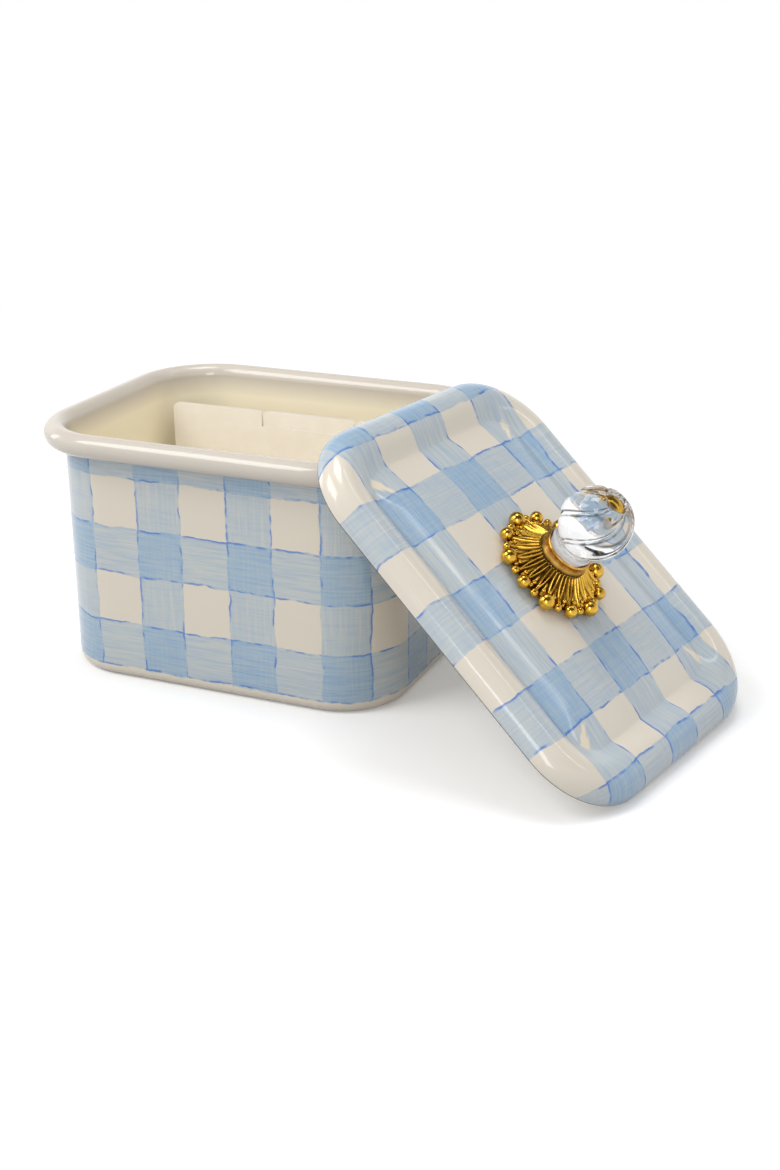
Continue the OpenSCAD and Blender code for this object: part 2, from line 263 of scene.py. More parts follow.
def put_in_place(obj: bpy.types.Object, place: Matrix) -> None:
    """Moves an object and puts the move into its mesh.

    Args:
        obj: The object to place.
        place: Where it goes, in the frame.
    """
    start_alone(obj)
    obj.matrix_world = place
    bpy.ops.object.transform_apply(location=True, rotation=True, scale=True)


def join_all(parts: Sequence[bpy.types.Object], name: str) -> bpy.types.Object:
    """Joins objects into the first one.

    Args:
        parts: The objects to join.
        name: Name of the result.

    Returns:
        The joined object.
    """
    start_alone(parts[0])
    for part in parts[1:]:
        part.select_set(True)
    bpy.ops.object.join()
    parts[0].name = name
    return parts[0]


def store_points(obj: bpy.types.Object, name: str, values: Sequence[float]) -> None:
    """Keeps one number per vertex as a named attribute.

    Args:
        obj: The object whose mesh keeps the numbers.
        name: Name of the attribute.
        values: One number per vertex.
    """
    attribute = obj.data.attributes.new(name, "FLOAT", "POINT")
    attribute.data.foreach_set("value", list(values))


def store_rules(obj: bpy.types.Object, rules: Dict[str, Callable[[Vector], float]]) -> None:
    """Keeps what each rule gives at every vertex as a named attribute.

    Args:
        obj: The object whose mesh keeps the numbers.
        rules: Names of the attributes, each with the rule that gives its number at a place.
    """
    for name, rule in rules.items():
        store_points(obj, name, [rule(vertex.co) for vertex in obj.data.vertices])


def store_cells(obj: bpy.types.Object, place: Callable[[Vector], Point2], around: float = 0.0) -> None:
    """Writes the UV map on which the painted bands lie, in cells.

    Args:
        obj: The object to map.
        place: Gives the two cell coordinates of a vertex.
        around: Number of cells once round a closed shell, 0 if it doesn't close.
    """
    mesh = obj.data
    spots = [place(vertex.co) for vertex in mesh.vertices]
    layer = mesh.uv_layers.new(name="cells")
    for polygon in mesh.polygons:
        here = [spots[index] for index in polygon.vertices]
        wraps = around > 0 and max(s[0] for s in here) - min(s[0] for s in here) > around / 2
        for loop_index, spot in zip(polygon.loop_indices, here):
            shift = around if wraps and spot[0] < around / 2 else 0.0
            layer.data[loop_index].uv = (spot[0] + shift, spot[1])


class Board:
    """Adds shader nodes to one tree and links them."""

    def __init__(self, tree: bpy.types.NodeTree) -> None:
        """Starts on a tree.

        Args:
            tree: The tree that the nodes go into.
        """
        self.tree = tree
        self.count = 0

    def feed(self, target: Socket, value: object) -> None:
        """Links a socket or sets a plain value.

        Args:
            target: The input to feed.
            value: A socket, or a value for its default.
        """
        if isinstance(value, bpy.types.NodeSocket):
            self.tree.links.new(value, target)
        else:
            target.default_value = value

    def feed_all(self, node: bpy.types.Node, feeds: Feeds) -> None:
        """Feeds several inputs of a node.

        Args:
            node: The node.
            feeds: Sockets or plain values, by the name or the number of the input.
        """
        for place, value in feeds.items():
            self.feed(node.inputs[place], value)

    def add(self, kind: str, feeds: Optional[Feeds] = None, **settings: object) -> bpy.types.Node:
        """Adds a node.

        Args:
            kind: The node's type after ShaderNode.
            feeds: What goes into its inputs.
            settings: Properties to set on it before its inputs are fed.

        Returns:
            The node.
        """
        node = self.tree.nodes.new(kind if kind.startswith("Node") else "ShaderNode" + kind)
        row, column = divmod(self.count, NODES_ACROSS)
        node.location = (NODE_STEP[0] * column, NODE_STEP[1] * row)
        self.count += 1
        for name, value in settings.items():
            setattr(node, name, value)
        self.feed_all(node, feeds or {})
        return node

    def math(self, operation: str, first: Value, second: Value = 0.0, clamped: bool = False) -> Socket:
        """Adds a Math node.

        Args:
            operation: Its operation.
            first: First input.
            second: Second input.
            clamped: Whether the result is kept from 0 to 1.

        Returns:
            Its output.
        """
        return self.add("Math", {0: first, 1: second}, operation=operation, use_clamp=clamped).outputs[0]

    def times(self, *factors: Value) -> Socket:
        """Multiplies two or more numbers.

        Args:
            factors: The numbers.

        Returns:
            Their product.
        """
        product = factors[0]
        for factor in factors[1:]:
            product = self.math("MULTIPLY", product, factor)
        return product

    def plus(self, first: Value, second: Value) -> Socket:
        """Adds two numbers."""
        return self.math("ADD", first, second)

    def minus(self, first: Value, second: Value) -> Socket:
        """Takes the second number from the first."""
        return self.math("SUBTRACT", first, second)

    def step(self, value: Value, low: float, high: float, start: float = 0.0, end: float = 1.0) -> Socket:
        """Adds a smooth Map Range.

        Args:
            value: What is mapped.
            low: Input that gives the start.
            high: Input that gives the end.
            start: Result at low.
            end: Result at high.

        Returns:
            The mapped value.
        """
        limits = {"From Min": low, "From Max": high, "To Min": start, "To Max": end}
        node = self.add("MapRange", {"Value": value, **limits}, interpolation_type="SMOOTHSTEP")
        return node.outputs["Result"]

    def mix(self, share: Value, first: object, second: object) -> Socket:
        """Mixes two colours.

        Args:
            share: Share of the second.
            first: First colour.
            second: Second colour.

        Returns:
            The mixed colour.
        """
        return self.add("Mix", {0: share, 6: first, 7: second}, data_type="RGBA").outputs[2]

    def vector(self, operation: str, *inputs: object) -> Socket:
        """Adds a Vector Math node.

        Args:
            operation: Its operation.
            inputs: Its vectors.

        Returns:
            The resulting vector.
        """
        return self.add("VectorMath", dict(enumerate(inputs)), operation=operation).outputs[0]

    def parts(self, vector: Socket) -> Sequence[Socket]:
        """Gives the three parts of a vector."""
        return self.add("SeparateXYZ", {0: vector}).outputs

    def attribute(self, name: str) -> Socket:
        """Reads a number that the mesh keeps under a name."""
        return self.add("Attribute", attribute_name=name).outputs["Fac"]

    def noise(
        self, vector: Socket, scale: float, detail: float = 2.0, roughness: float = 0.5,
        change: Optional[Socket] = None,
    ) -> Socket:
        """Adds a noise texture.

        Args:
            vector: Where it is read.
            scale: Its scale.
            detail: Its octaves.
            roughness: Strength of the finer octaves.
            change: A number that picks another pattern.

        Returns:
            The noise from 0 to 1.
        """
        feeds = {"Vector": vector, "Scale": scale, "Detail": detail, "Roughness": roughness}
        if change is not None:
            feeds["W"] = change
        return self.add("TexNoise", feeds, noise_dimensions="3D" if change is None else "4D").outputs[0]


def open_group(
    name: str, inputs: Dict[str, str], outputs: Dict[str, str],
) -> Tuple[bpy.types.NodeTree, Board, Dict[str, Socket], bpy.types.Node]:
    """Starts a node group with named sockets.

    Args:
        name: Name of the group.
        inputs: Input names with their socket types.
        outputs: Output names with their socket types.

    Returns:
        The group, a board on it, its input sockets by name, and the node that takes its outputs.
    """
    group = bpy.data.node_groups.new(name, "ShaderNodeTree")
    for way, sockets in (("INPUT", inputs), ("OUTPUT", outputs)):
        for label, kind in sockets.items():
            group.interface.new_socket(name=label, in_out=way, socket_type="NodeSocket" + kind)
    board = Board(group)
    given = {socket.name: socket for socket in board.add("NodeGroupInput").outputs}
    return group, board, given, board.add("NodeGroupOutput")


def brushed_bands_group() -> bpy.types.NodeTree:
    """Builds the washes of a gingham laid on with a brush, from cell coordinates.

    Bands run both ways and show darker where they cross. Each patch has its own
    brush streaks, and the paint pools to a thin dark stroke along some edges.

    Returns:
        The node group.
    """
    group, board, given, out = open_group(
        "brushed_bands",
        {"Cells": "Vector", "Wobble": "Float", "Streaks": "Float", "Pooling": "Float"},
        {"One way": "Float", "Other way": "Float", "Pool": "Float", "Streak": "Float"},
    )
    cells = given["Cells"]
    drift = board.add("TexNoise", {"Vector": cells, "Scale": 1.3, "Detail": 3.0, "Roughness": 0.6})
    centred = board.vector("SUBTRACT", drift.outputs["Color"], (0.5, 0.5, 0.5))
    sized = board.add("VectorMath", {0: centred, "Scale": given["Wobble"]}, operation="SCALE")
    moved = board.vector("ADD", cells, sized.outputs[0])
    places = board.parts(moved)
    cell = board.vector("FLOOR", moved)
    chance = board.add("TexWhiteNoise", {"Vector": cell}, noise_dimensions="2D")
    patch = board.times(chance.outputs["Value"], 40.0)
    long_streaks = board.noise(board.vector("MULTIPLY", cells, (1.1, 26.0, 1.0)), 1.0, 3.0, 0.65, patch)
    cross_streaks = board.noise(board.vector("MULTIPLY", cells, (26.0, 1.1, 1.0)), 1.0, 3.0, 0.65, patch)
    cloud = board.noise(cells, 1.7, 2.0, 0.5, patch)
    edges = []
    washes = []
    for place, streak in ((places[0], cross_streaks), (places[1], long_streaks)):
        wave = board.math("SINE", board.times(place, math.pi))
        body = board.step(wave, -0.02, 0.05)
        varied = board.times(board.minus(streak, 0.5), given["Streaks"])
        shade = board.plus(board.plus(0.78, varied), board.times(cloud, 0.22))
        washes.append(board.math("MULTIPLY", body, shade, clamped=True))
        edges.append(board.times(body, board.step(wave, 0.04, 0.21, 1.0, 0.0)))
    along_edge = board.noise(cells, 2.2, 2.0, 0.6, patch)
    chosen = board.step(along_edge, 0.44, 0.6)
    both = board.math("MAXIMUM", edges[0], edges[1])
    board.feed_all(out, {
        "One way": washes[0],
        "Other way": washes[1],
        "Pool": board.times(both, chosen, given["Pooling"]),
        "Streak": long_streaks,
    })
    return group


def enamel_skin_group() -> bpy.types.NodeTree:
    """Builds the faint waviness and the uneven gloss of fired enamel.

    Returns:
        The node group.
    """
    group, board, given, out = open_group(
        "enamel_skin", {"Place": "Vector", "Paint": "Float"}, {"Height": "Float", "Roughness": "Float"},
    )
    wave = board.noise(given["Place"], 70.0)
    peel = board.noise(given["Place"], 420.0)
    smear = board.noise(given["Place"], 38.0, 3.0, 0.6)
    height = board.plus(board.times(wave, 0.8), board.times(peel, 0.12))
    gloss = board.step(smear, 0.35, 0.7, 0.07, 0.13)
    board.feed_all(out, {
        "Height": board.plus(height, board.times(given["Paint"], 0.10)),
        "Roughness": board.plus(gloss, board.times(given["Paint"], 0.05)),
    })
    return group


def metal_skin_group() -> bpy.types.NodeTree:
    """Builds the worn polish of a cast or drawn metal part.

    Returns:
        The node group.
    """
    group, board, given, out = open_group(
        "metal_skin", {"Place": "Vector", "Grain": "Float"}, {"Wear": "Float", "Height": "Float"},
    )
    spots = board.noise(given["Place"], 260.0, 4.0, 0.6)
    fine = board.noise(given["Place"], 1500.0)
    rough = board.plus(board.times(spots, 0.85), board.times(fine, 0.15))
    board.feed_all(out, {"Wear": board.step(spots, 0.38, 0.68), "Height": board.times(rough, given["Grain"])})
    return group


def paper_fibre_group() -> bpy.types.NodeTree:
    """Builds the mottling and the fibres of uncoated board.

    Returns:
        The node group.
    """
    group, board, given, out = open_group(
        "paper_fibre", {"Place": "Vector"}, {"Mottle": "Float", "Height": "Float"},
    )
    cloud = board.noise(given["Place"], 90.0, 4.0, 0.6)
    fibre = board.noise(board.vector("MULTIPLY", given["Place"], (1.0, 1.0, 3.2)), 900.0, 4.0, 0.7)
    mottle = board.plus(board.times(cloud, 0.6), board.times(fibre, 0.4))
    board.feed_all(out, {"Mottle": mottle, "Height": fibre})
    return group


def new_material(name: str) -> Tuple[bpy.types.Material, Board, bpy.types.Node, Socket]:
    """Makes a material with one Principled shader.

    Args:
        name: Name of the material.

    Returns:
        The material, a board on its tree, the shader, and the place on the object.
    """
    material = bpy.data.materials.new(name)
    material.use_nodes = True
    material.node_tree.nodes.clear()
    board = Board(material.node_tree)
    shader = board.add("BsdfPrincipled")
    board.add("OutputMaterial", {"Surface": shader.outputs[0]})
    return material, board, shader, board.add("TexCoord").outputs["Object"]


def bump(board: Board, height: Socket, distance: float, strength: float) -> Socket:
    """Turns a height into a normal.

    Args:
        board: The board of the material.
        height: The height from 0 to 1.
        distance: What a height of 1 is, in millimetres.
        strength: Share of it that shows.

    Returns:
        The normal.
    """
    feeds = {"Strength": strength, "Distance": distance * MM, "Height": height}
    return board.add("Bump", feeds).outputs[0]


@dataclass(frozen=True)
class PaintedEnamel:
    """Cream enamel with the brushed gingham where the mesh is painted."""

    name: str
    bands: bpy.types.NodeTree
    skin: bpy.types.NodeTree
    ground: Colour
    # Cream of the unpainted rim; on the box it is darkened as painted shade.
    rim: Colour
    # Cream of the lining: partly its own lighter tone, partly lightened as painted light.
    inside: Colour
    wash: Colour
    deep_wash: Colour
    stroke: Colour
    one_layer: float = 0.62
    crossing_depth: float = 0.30
    lowest_cell: float = -1000.0
    lowest_ragged: float = 0.12
    # Colour of the dark edges: bare steel, and at the box's base also a painted contact shadow.
    dark_edge_colour: Colour = linear(52, 48, 46)

    def build(self) -> bpy.types.Material:
        """Builds the material.

        Returns:
            The material.
        """
        material, board, shader, place = new_material(self.name)
        cells = board.add("UVMap", uv_map="cells").outputs[0]
        painted = board.attribute("painted")
        lining = board.attribute("lining")
        brush = {"Cells": cells, "Wobble": 0.2, "Streaks": 1.7, "Pooling": 0.85}
        bands = board.add("Group", brush, node_tree=self.bands).outputs
        ragged = board.minus(board.noise(cells, 3.0, 3.0, 0.6), 0.5)
        low = board.minus(board.parts(cells)[1], board.times(ragged, self.lowest_ragged))
        shown = board.times(painted, board.step(low, self.lowest_cell - 0.02, self.lowest_cell + 0.02))
        first = board.times(bands["One way"], self.one_layer)
        second = board.times(bands["Other way"], self.one_layer)
        left_bare = board.times(board.minus(1.0, first), board.minus(1.0, second))
        layers = board.times(board.minus(1.0, left_bare), shown)
        crossing = board.times(bands["One way"], bands["Other way"], shown, self.crossing_depth)
        tone = board.mix(board.step(bands["Streak"], 0.44, 0.72), self.wash, self.deep_wash)
        # Rim and lining tones of the cream: the box's rim is darkened as painted shade, and the lining is
        # partly lightened as painted light.
        ground = board.mix(lining, board.mix(painted, self.rim, self.ground), self.inside)
        washed = board.mix(crossing, board.mix(layers, ground, tone), self.deep_wash)
        stroked = board.mix(board.times(bands["Pool"], shown), washed, self.stroke)
        skin = board.add("Group", {"Place": place, "Paint": layers}, node_tree=self.skin)
        # Darkens the edges: bare steel at the lid's hem; at the box's base partly bare steel, partly a
        # painted contact shadow.
        board.feed_all(shader, {
            "Base Color": board.mix(board.attribute("dark_edge"), stroked, self.dark_edge_colour),
            "Roughness": skin.outputs["Roughness"],
            "IOR": 1.52,
            "Normal": bump(board, skin.outputs["Height"], 0.25, 0.25),
        })
        return material


@dataclass(frozen=True)
class GiltMetal:
    """Polished cast metal, browner in its hollows from painted shade, and in its worn spots."""

    name: str
    skin: bpy.types.NodeTree
    bright: Colour
    # Colour of the painted shade in the hollows, also taken by the worn spots.
    hollow: Colour
    gloss: float = 0.2
    dullness: float = 0.25
    grain: float = 0.25

    def build(self) -> bpy.types.Material:
        """Builds the material.

        Returns:
            The material.
        """
        material, board, shader, place = new_material(self.name)
        skin = board.add("Group", {"Place": place, "Grain": self.grain}, node_tree=self.skin)
        dull = board.times(skin.outputs["Wear"], self.dullness)
        # Darkness from the painted shade in the hollows, added to the real wear.
        dark = board.math("ADD", board.attribute("painted_shade"), dull, clamped=True)
        board.feed_all(shader, {
            "Base Color": board.mix(dark, self.bright, self.hollow),
            "Roughness": board.step(dark, 0.0, 1.0, self.gloss, self.gloss + self.dullness),
            "Metallic": 1.0,
            "Normal": bump(board, skin.outputs["Height"], 0.08, 0.5),
        })
        return material


@dataclass(frozen=True)
class PlatedSteel:
    """Plain plated steel of the fixings under the lid."""

    name: str
    skin: bpy.types.NodeTree
    bright: Colour = linear(196, 196, 194)
    worn: Colour = linear(150, 148, 144)

    def build(self) -> bpy.types.Material:
        """Builds the material.

        Returns:
            The material.
        """
        material, board, shader, place = new_material(self.name)
        skin = board.add("Group", {"Place": place, "Grain": 1.0}, node_tree=self.skin)
        board.feed_all(shader, {
            "Base Color": board.mix(skin.outputs["Wear"], self.bright, self.worn),
            "Roughness": board.step(skin.outputs["Wear"], 0.0, 1.0, 0.25, 0.45),
            "Metallic": 1.0,
            "Normal": bump(board, skin.outputs["Height"], 0.1, 0.4),
        })
        return material


@dataclass(frozen=True)
class ClearGlass:
    """Clear pressed glass with painted dark lines along its grooves, standing in for the shade seen through
    it, and ground at its foot.
    """

    name: str
    clear: Colour = linear(252, 253, 254)
    # Colour of the painted dark refraction lines.
    painted_refraction_line: Colour = linear(34, 32, 34)
    ground_roughness: float = 0.4

    def build(self) -> bpy.types.Material:
        """Builds the material.

        Returns:
            The material.
        """
        material, board, shader, place = new_material(self.name)
        uneven = board.step(board.noise(place, 240.0), 0.3, 0.6)
        # Painted dark lines beside the grooves, standing in for the dark surroundings seen through the glass.
        line = board.times(board.attribute("groove"), board.plus(board.times(uneven, 0.6), 0.4))
        board.feed_all(shader, {
            "Base Color": board.mix(line, self.clear, self.painted_refraction_line),
            "Roughness": board.times(board.attribute("ground"), self.ground_roughness),
            "IOR": 1.5,
            "Transmission Weight": 1.0,
            "Normal": bump(board, board.noise(place, 160.0, 1.0, 0.4), 0.12, 0.2),
        })
        return material


@dataclass(frozen=True)
class PlainPaper:
    """Uncoated paper or board."""

    name: str
    fibre: bpy.types.NodeTree
    light: Colour
    dark: Colour

    def build(self) -> bpy.types.Material:
        """Builds the material.

        Returns:
            The material.
        """
        material, board, shader, place = new_material(self.name)
        fibre = board.add("Group", {"Place": place}, node_tree=self.fibre)
        mottle = fibre.outputs["Mottle"]
        board.feed_all(shader, {
            "Base Color": board.mix(board.step(mottle, 0.3, 0.7), self.light, self.dark),
            "Roughness": board.step(mottle, 0.2, 0.8, 0.78, 0.9),
            "Normal": bump(board, fibre.outputs["Height"], 0.06, 0.5),
        })
        return material


def give_material(obj: bpy.types.Object, material: bpy.types.Material) -> None:
    """Makes a material the only one of a piece.

    Args:
        obj: The piece.
        material: Its material.
    """
    obj.data.materials.clear()
    obj.data.materials.append(material)
    LOG.info("%s is %s", obj.name, material.name)


def dress(obj: bpy.types.Object, material: bpy.types.Material, body: str) -> None:
    """Gives a modelled piece its material and its body.

    Args:
        obj: The piece.
        material: Its material.
        body: The body it rides on.
    """
    give_material(obj, material)
    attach(obj, body)


@dataclass
class BoxShell:
    """The pressed box: base, rounded edge, wall and the open rolled rim."""

    rim_w: float = 190.48
    rim_d: float = 153.48
    height: float = 119.49
    sheet: float = 1.2
    roll_dia: float = 10.8
    corner_r: float = 32.0
    base_r: float = 5.0
    curl_gap: float = 1.2
    row_h: float = 23.5
    lowest_row: float = 5.5
    cells_around: int = 24
    base_flat: float = 1.0
    base_reach: float = 6.0
    wall_levels: Sequence[float] = (30, 60, 90, 105)
    lining_full: float = 16.0
    lining_end: float = 4.0
    # How dark the base's foot is made: partly bare steel, partly a painted contact shadow.
    dark_edge_share: float = 0.6
    corner_steps: int = 18
    side_steps: int = 6

    def __post_init__(self) -> None:
        """Works out the sizes that follow from the fields."""
        self.roll_r = self.roll_dia / 2
        wall_out = self.roll_dia - self.sheet
        self.half_x = self.rim_w / 2 - wall_out - self.corner_r
        self.half_y = self.rim_d / 2 - wall_out - self.corner_r
        self.around = 4 * (self.half_x + self.half_y) + 2 * math.pi * self.corner_r
        self.cell_w = self.around / self.cells_around

    def section(self) -> List[Point2]:
        """Gives the section from the middle of the base out, up, round the curl and back in.

        Returns:
            Distance from the corner's axis and height of each point.
        """
        roll_x = self.corner_r - self.sheet + self.roll_r
        roll_z = self.height - self.roll_r
        curl_end = math.degrees(math.acos((self.roll_r - self.sheet - self.curl_gap) / self.roll_r))
        foot = self.corner_r - self.base_r
        points: List[Point2] = [(foot - self.base_reach, 0), (foot - self.base_flat, 0)]
        points += arc_points(foot, self.base_r, self.base_r, -90, 0, 10)
        points += [(self.corner_r, z) for z in self.wall_levels]
        points += arc_points(roll_x, roll_z, self.roll_r - self.sheet, 180, -180 + curl_end, 30)
        points += arc_points(roll_x, roll_z, self.roll_r, -180 + curl_end, 180, 44)
        points += [(self.corner_r - self.sheet, z) for z in reversed(self.wall_levels)]
        points += arc_points(foot, self.base_r, self.base_r - self.sheet, 0, -90, 8)
        points += [(foot - self.base_flat, self.sheet), (foot - self.base_reach, self.sheet)]
        return points

    def from_axis(self, spot: Vector) -> Point3:
        """Gives a point's offset from the nearest corner axis or the line between two.

        Args:
            spot: The point, in metres.

        Returns:
            Offset along X and Y, and height, in millimetres.
        """
        x, y, z = in_mm(spot)
        return (x - clamp(x, -self.half_x, self.half_x), y - clamp(y, -self.half_y, self.half_y), z)

    def cell_place(self, spot: Vector) -> Point2:
        """Gives the place of a point on the unrolled wall.

        Args:
            spot: The point, in metres.

        Returns:
            Cells round the wall from the front right corner, and rows up from the lowest one.
        """
        dx, dy, z = self.from_axis(spot)
        x, y, _ = in_mm(spot)
        turn = math.atan2(dy, dx) % (2 * math.pi)
        if abs(dy) < TINY:
            turn = 0.0 if dx > 0 else math.pi
        elif abs(dx) < TINY:
            turn = math.pi / 2 if dy > 0 else 3 * math.pi / 2
        quarter = min(3, int(turn / (math.pi / 2) + TINY))
        runs = (self.half_y, self.half_x, self.half_y, self.half_x)
        along = (y, -x, -y, x)[quarter]
        gone = sum(2 * run for run in runs[:quarter]) + self.corner_r * turn
        if abs(dx) < TINY or abs(dy) < TINY:
            gone += clamp(along, -runs[quarter], runs[quarter]) + runs[quarter]
        else:
            gone += 2 * runs[quarter]
        if z < self.base_r:
            reach = math.hypot(dx, dy) - (self.corner_r - self.base_r)
            z = self.base_r - self.base_r * math.atan2(self.base_r - z, max(reach, TINY))
        return (gone / self.cell_w, (z - self.lowest_row) / self.row_h)

    def is_painted(self, spot: Vector) -> float:
        """Tells whether a point lies on the outside of the wall.

        Args:
            spot: The point, in metres.

        Returns:
            1 if it does, else 0.
        """
        dx, dy, z = self.from_axis(spot)
        out = math.hypot(dx, dy)
        if z < self.base_r:
            reach = out - (self.corner_r - self.base_r)
            edge = math.hypot(reach, z - self.base_r)
            return 1.0 if edge > self.base_r - self.sheet / 2 and reach > 0 else 0.0
        on_wall = abs(out - self.corner_r) < self.sheet / 4
        return 1.0 if on_wall and z < self.height - self.roll_r + 0.1 else 0.0

    def is_lining(self, spot: Vector) -> float:
        """Tells how far a point lies inside the box, below the rim.

        Args:
            spot: The point, in metres.

        Returns:
            1 on the inner wall and the floor, 0 on the rim and outside.
        """
        dx, dy, z = self.from_axis(spot)
        out = math.hypot(dx, dy)
        if z < self.base_r:
            edge = math.hypot(max(0.0, out - self.corner_r + self.base_r), z - self.base_r)
            return 1.0 if edge < self.base_r - self.sheet / 2 else 0.0
        below = smooth_share(self.height - self.lining_end, self.height - self.lining_full, z)
        return below if out < self.corner_r - self.sheet / 2 else 0.0

    def dark_edge(self, spot: Vector) -> float:
        """Gives how dark the base's edge is where it meets the table: partly bare steel, partly a painted
        contact shadow.
        """
        return self.dark_edge_share * smooth_share(0.7, 0.1, spot.z / MM)

    def build(self, material: bpy.types.Material) -> bpy.types.Object:
        """Builds the box.

        Args:
            material: Its enamel.

        Returns:
            The piece that stands for the CAD node.
        """
        half = (self.half_x, self.half_y)
        obj = swept("enamelled_box", self.section(), half, self.corner_steps, self.side_steps)
        close_surface(obj, fill=True)
        store_cells(obj, self.cell_place, self.cells_around)
        store_rules(obj, {"painted": self.is_painted, "lining": self.is_lining, "dark_edge": self.dark_edge})
        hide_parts("box_body")
        dress(obj, material, "box")
        return obj


@dataclass(frozen=True)
class Lean:
    """Where the lid stands against the box, and its knob on the lid."""

    x: float = 146.321
    y: float = -37.1
    z: float = 66.013
    slope: float = 42.0
    turn: float = -10.8
    roll: float = 0.8
    seat_z: float = 10.1926

    def lid(self) -> Matrix:
        """Gives the place of the lid's rim plane.

        Returns:
            The matrix that takes the lid's own frame to its place.
        """
        turn = Matrix.Rotation(math.radians(self.turn), 4, "Z")
        slope = Matrix.Rotation(math.radians(self.slope), 4, "Y")
        roll = Matrix.Rotation(math.radians(self.roll), 4, "X")
        return Matrix.Translation(Vector((self.x, self.y, self.z)) * MM) @ turn @ slope @ roll

    def seat(self) -> Matrix:
        """Gives the place of the knob's seat on the lid."""
        return self.lid() @ Matrix.Translation((0, 0, self.seat_z * MM))


@dataclass
class LidShell:
    """The pressed lid: hemmed skirt, rounded shoulder, crest, valley and domed panel."""

    width: float = 194.8
    depth: float = 157.9
    corner_r: float = 36.9
    sheet: float = 1.2
    height: float = 10.2
    skirt_h: float = 1.5
    shoulder_w: float = 10.5
    valley_w: float = 23.0
    valley_depth: float = 4.6
    dome_h: float = 4.6
    crest_turn: float = 135.0
    hem_h: float = 1.2
    hem_t: float = 0.5
    hem_low: float = 0.3
    hem_round: Sequence[Point2] = ((0.42, 0.0), (0.2, 0.08), (0.06, 0.24))
    edge_levels: Sequence[float] = (0.45, 0.8)
    seat_share: float = 0.2
    ring_crowding: float = 1.6
    cell: float = 24.5
    curve_steps: int = 16
    corner_steps: int = 18
    side_steps: int = 8
    dome_rings: int = 18

    def __post_init__(self) -> None:
        """Works out the sizes that follow from the fields."""
        self.half_x = self.width / 2 - self.corner_r
        self.half_y = self.depth / 2 - self.corner_r
        self.valley_z = self.height - self.valley_depth
        self.outer = self.profile()

    def profile(self) -> List[Point3]:
        """Gives the outer surface from the edge in to the valley.

        Returns:
            Distance in from the edge, height and slope of each point.
        """
        points = [(0.0, z, 90.0) for z in (*self.edge_levels, self.skirt_h)]
        rise = self.height - self.skirt_h
        for i in range(1, self.curve_steps + 1):
            turn = math.radians(90 * i / self.curve_steps)
            slope = math.degrees(math.atan2(rise * math.cos(turn), self.shoulder_w * math.sin(turn)))
            u = self.shoulder_w * (1 - math.cos(turn))
            points.append((u, self.skirt_h + rise * math.sin(turn), slope))
        run = self.valley_w - self.shoulder_w
        full = math.radians(self.crest_turn)
        fall = self.valley_depth / (1 - math.cos(full))
        for i in range(1, self.curve_steps + 1):
            turn = full * i / self.curve_steps
            slope = -math.degrees(math.atan(fall * math.sin(turn) * full / run))
            u = self.shoulder_w + run * i / self.curve_steps
            points.append((u, self.height - fall * (1 - math.cos(turn)), slope))
        return points

    def section(self) -> List[Point2]:
        """Gives the section from the inner valley out round the hem and back to the outer valley.

        Returns:
            Distance from the corner's axis and height of each point.
        """
        inner = []
        for u, z, slope in reversed(self.outer[len(self.edge_levels):]):
            turn = math.radians(slope)
            inner.append((u + self.sheet * math.sin(turn), z - self.sheet * math.cos(turn)))
        hem = self.sheet + self.hem_t
        turned_in = [(self.sheet, self.hem_h), (hem, self.hem_h), (hem, self.hem_low)]
        turned_in += [(hem - self.hem_low, 0.0), *self.hem_round]
        chain = inner + turned_in + [(u, z) for u, z, _ in self.outer]
        return [(self.corner_r - u, z) for u, z in chain]

    def edge_distance(self, x: float, y: float) -> Point3:
        """Gives how far a point lies in from the rounded edge, and the way out.

        Args:
            x: Place along the lid.
            y: Place across the lid.

        Returns:
            The distance, and the direction outwards along X and Y.
        """
        dx = x - clamp(x, -self.half_x, self.half_x)
        dy = y - clamp(y, -self.half_y, self.half_y)
        out = math.hypot(dx, dy)
        if out < TINY:
            gap_x = self.width / 2 - abs(x)
            gap_y = self.depth / 2 - abs(y)
            if gap_x < gap_y:
                return gap_x, math.copysign(1, x), 0.0
            return gap_y, 0.0, math.copysign(1, y)
        return self.corner_r - out, dx / out, dy / out

    def cell_place(self, spot: Vector) -> Point2:
        """Gives a point's place in cells, with the shoulder and skirt laid flat.

        Args:
            spot: The point in the lid's frame, in metres.

        Returns:
            Cells along and across, from the middle of the lid.
        """
        x, y, z = in_mm(spot)
        u, out_x, out_y = self.edge_distance(x, y)
        spare = 0.0
        if u < self.shoulder_w:
            rise = self.height - self.skirt_h
            turn = math.acos(clamp(1 - u / self.shoulder_w, 0.0, 1.0))
            mean = (self.shoulder_w + rise) / 2
            spare = mean * (math.pi / 2 - turn) - (self.shoulder_w - u)
            spare += max(0.0, self.skirt_h - z)
        return ((x + out_x * spare) / self.cell + 0.5, (y + out_y * spare) / self.cell + 0.5)

    def dome_height(self, share: float) -> float:
        """Gives the height of the domed panel at a share of the valley's loop."""
        return self.valley_z + self.dome_h * (1 - share ** 4)

    def draw_dome(self, drop: float) -> None:
        """Extrudes the selected valley loop inwards over the dome and fills it.

        Args:
            drop: How far the surface lies under the lid's outer one.
        """
        middle = (0, 0, (self.valley_z - drop) * MM)
        share = 1.0
        for ring in range(1, self.dome_rings + 1):
            after = 1 - (1 - self.seat_share) * (ring / self.dome_rings) ** self.ring_crowding
            extrude_by((0, 0, (self.dome_height(after) - self.dome_height(share)) * MM))
            ratio = after / share
            bpy.ops.transform.resize(value=(ratio, ratio, 1), center_override=middle)
            share = after
        bpy.ops.mesh.edge_face_add()

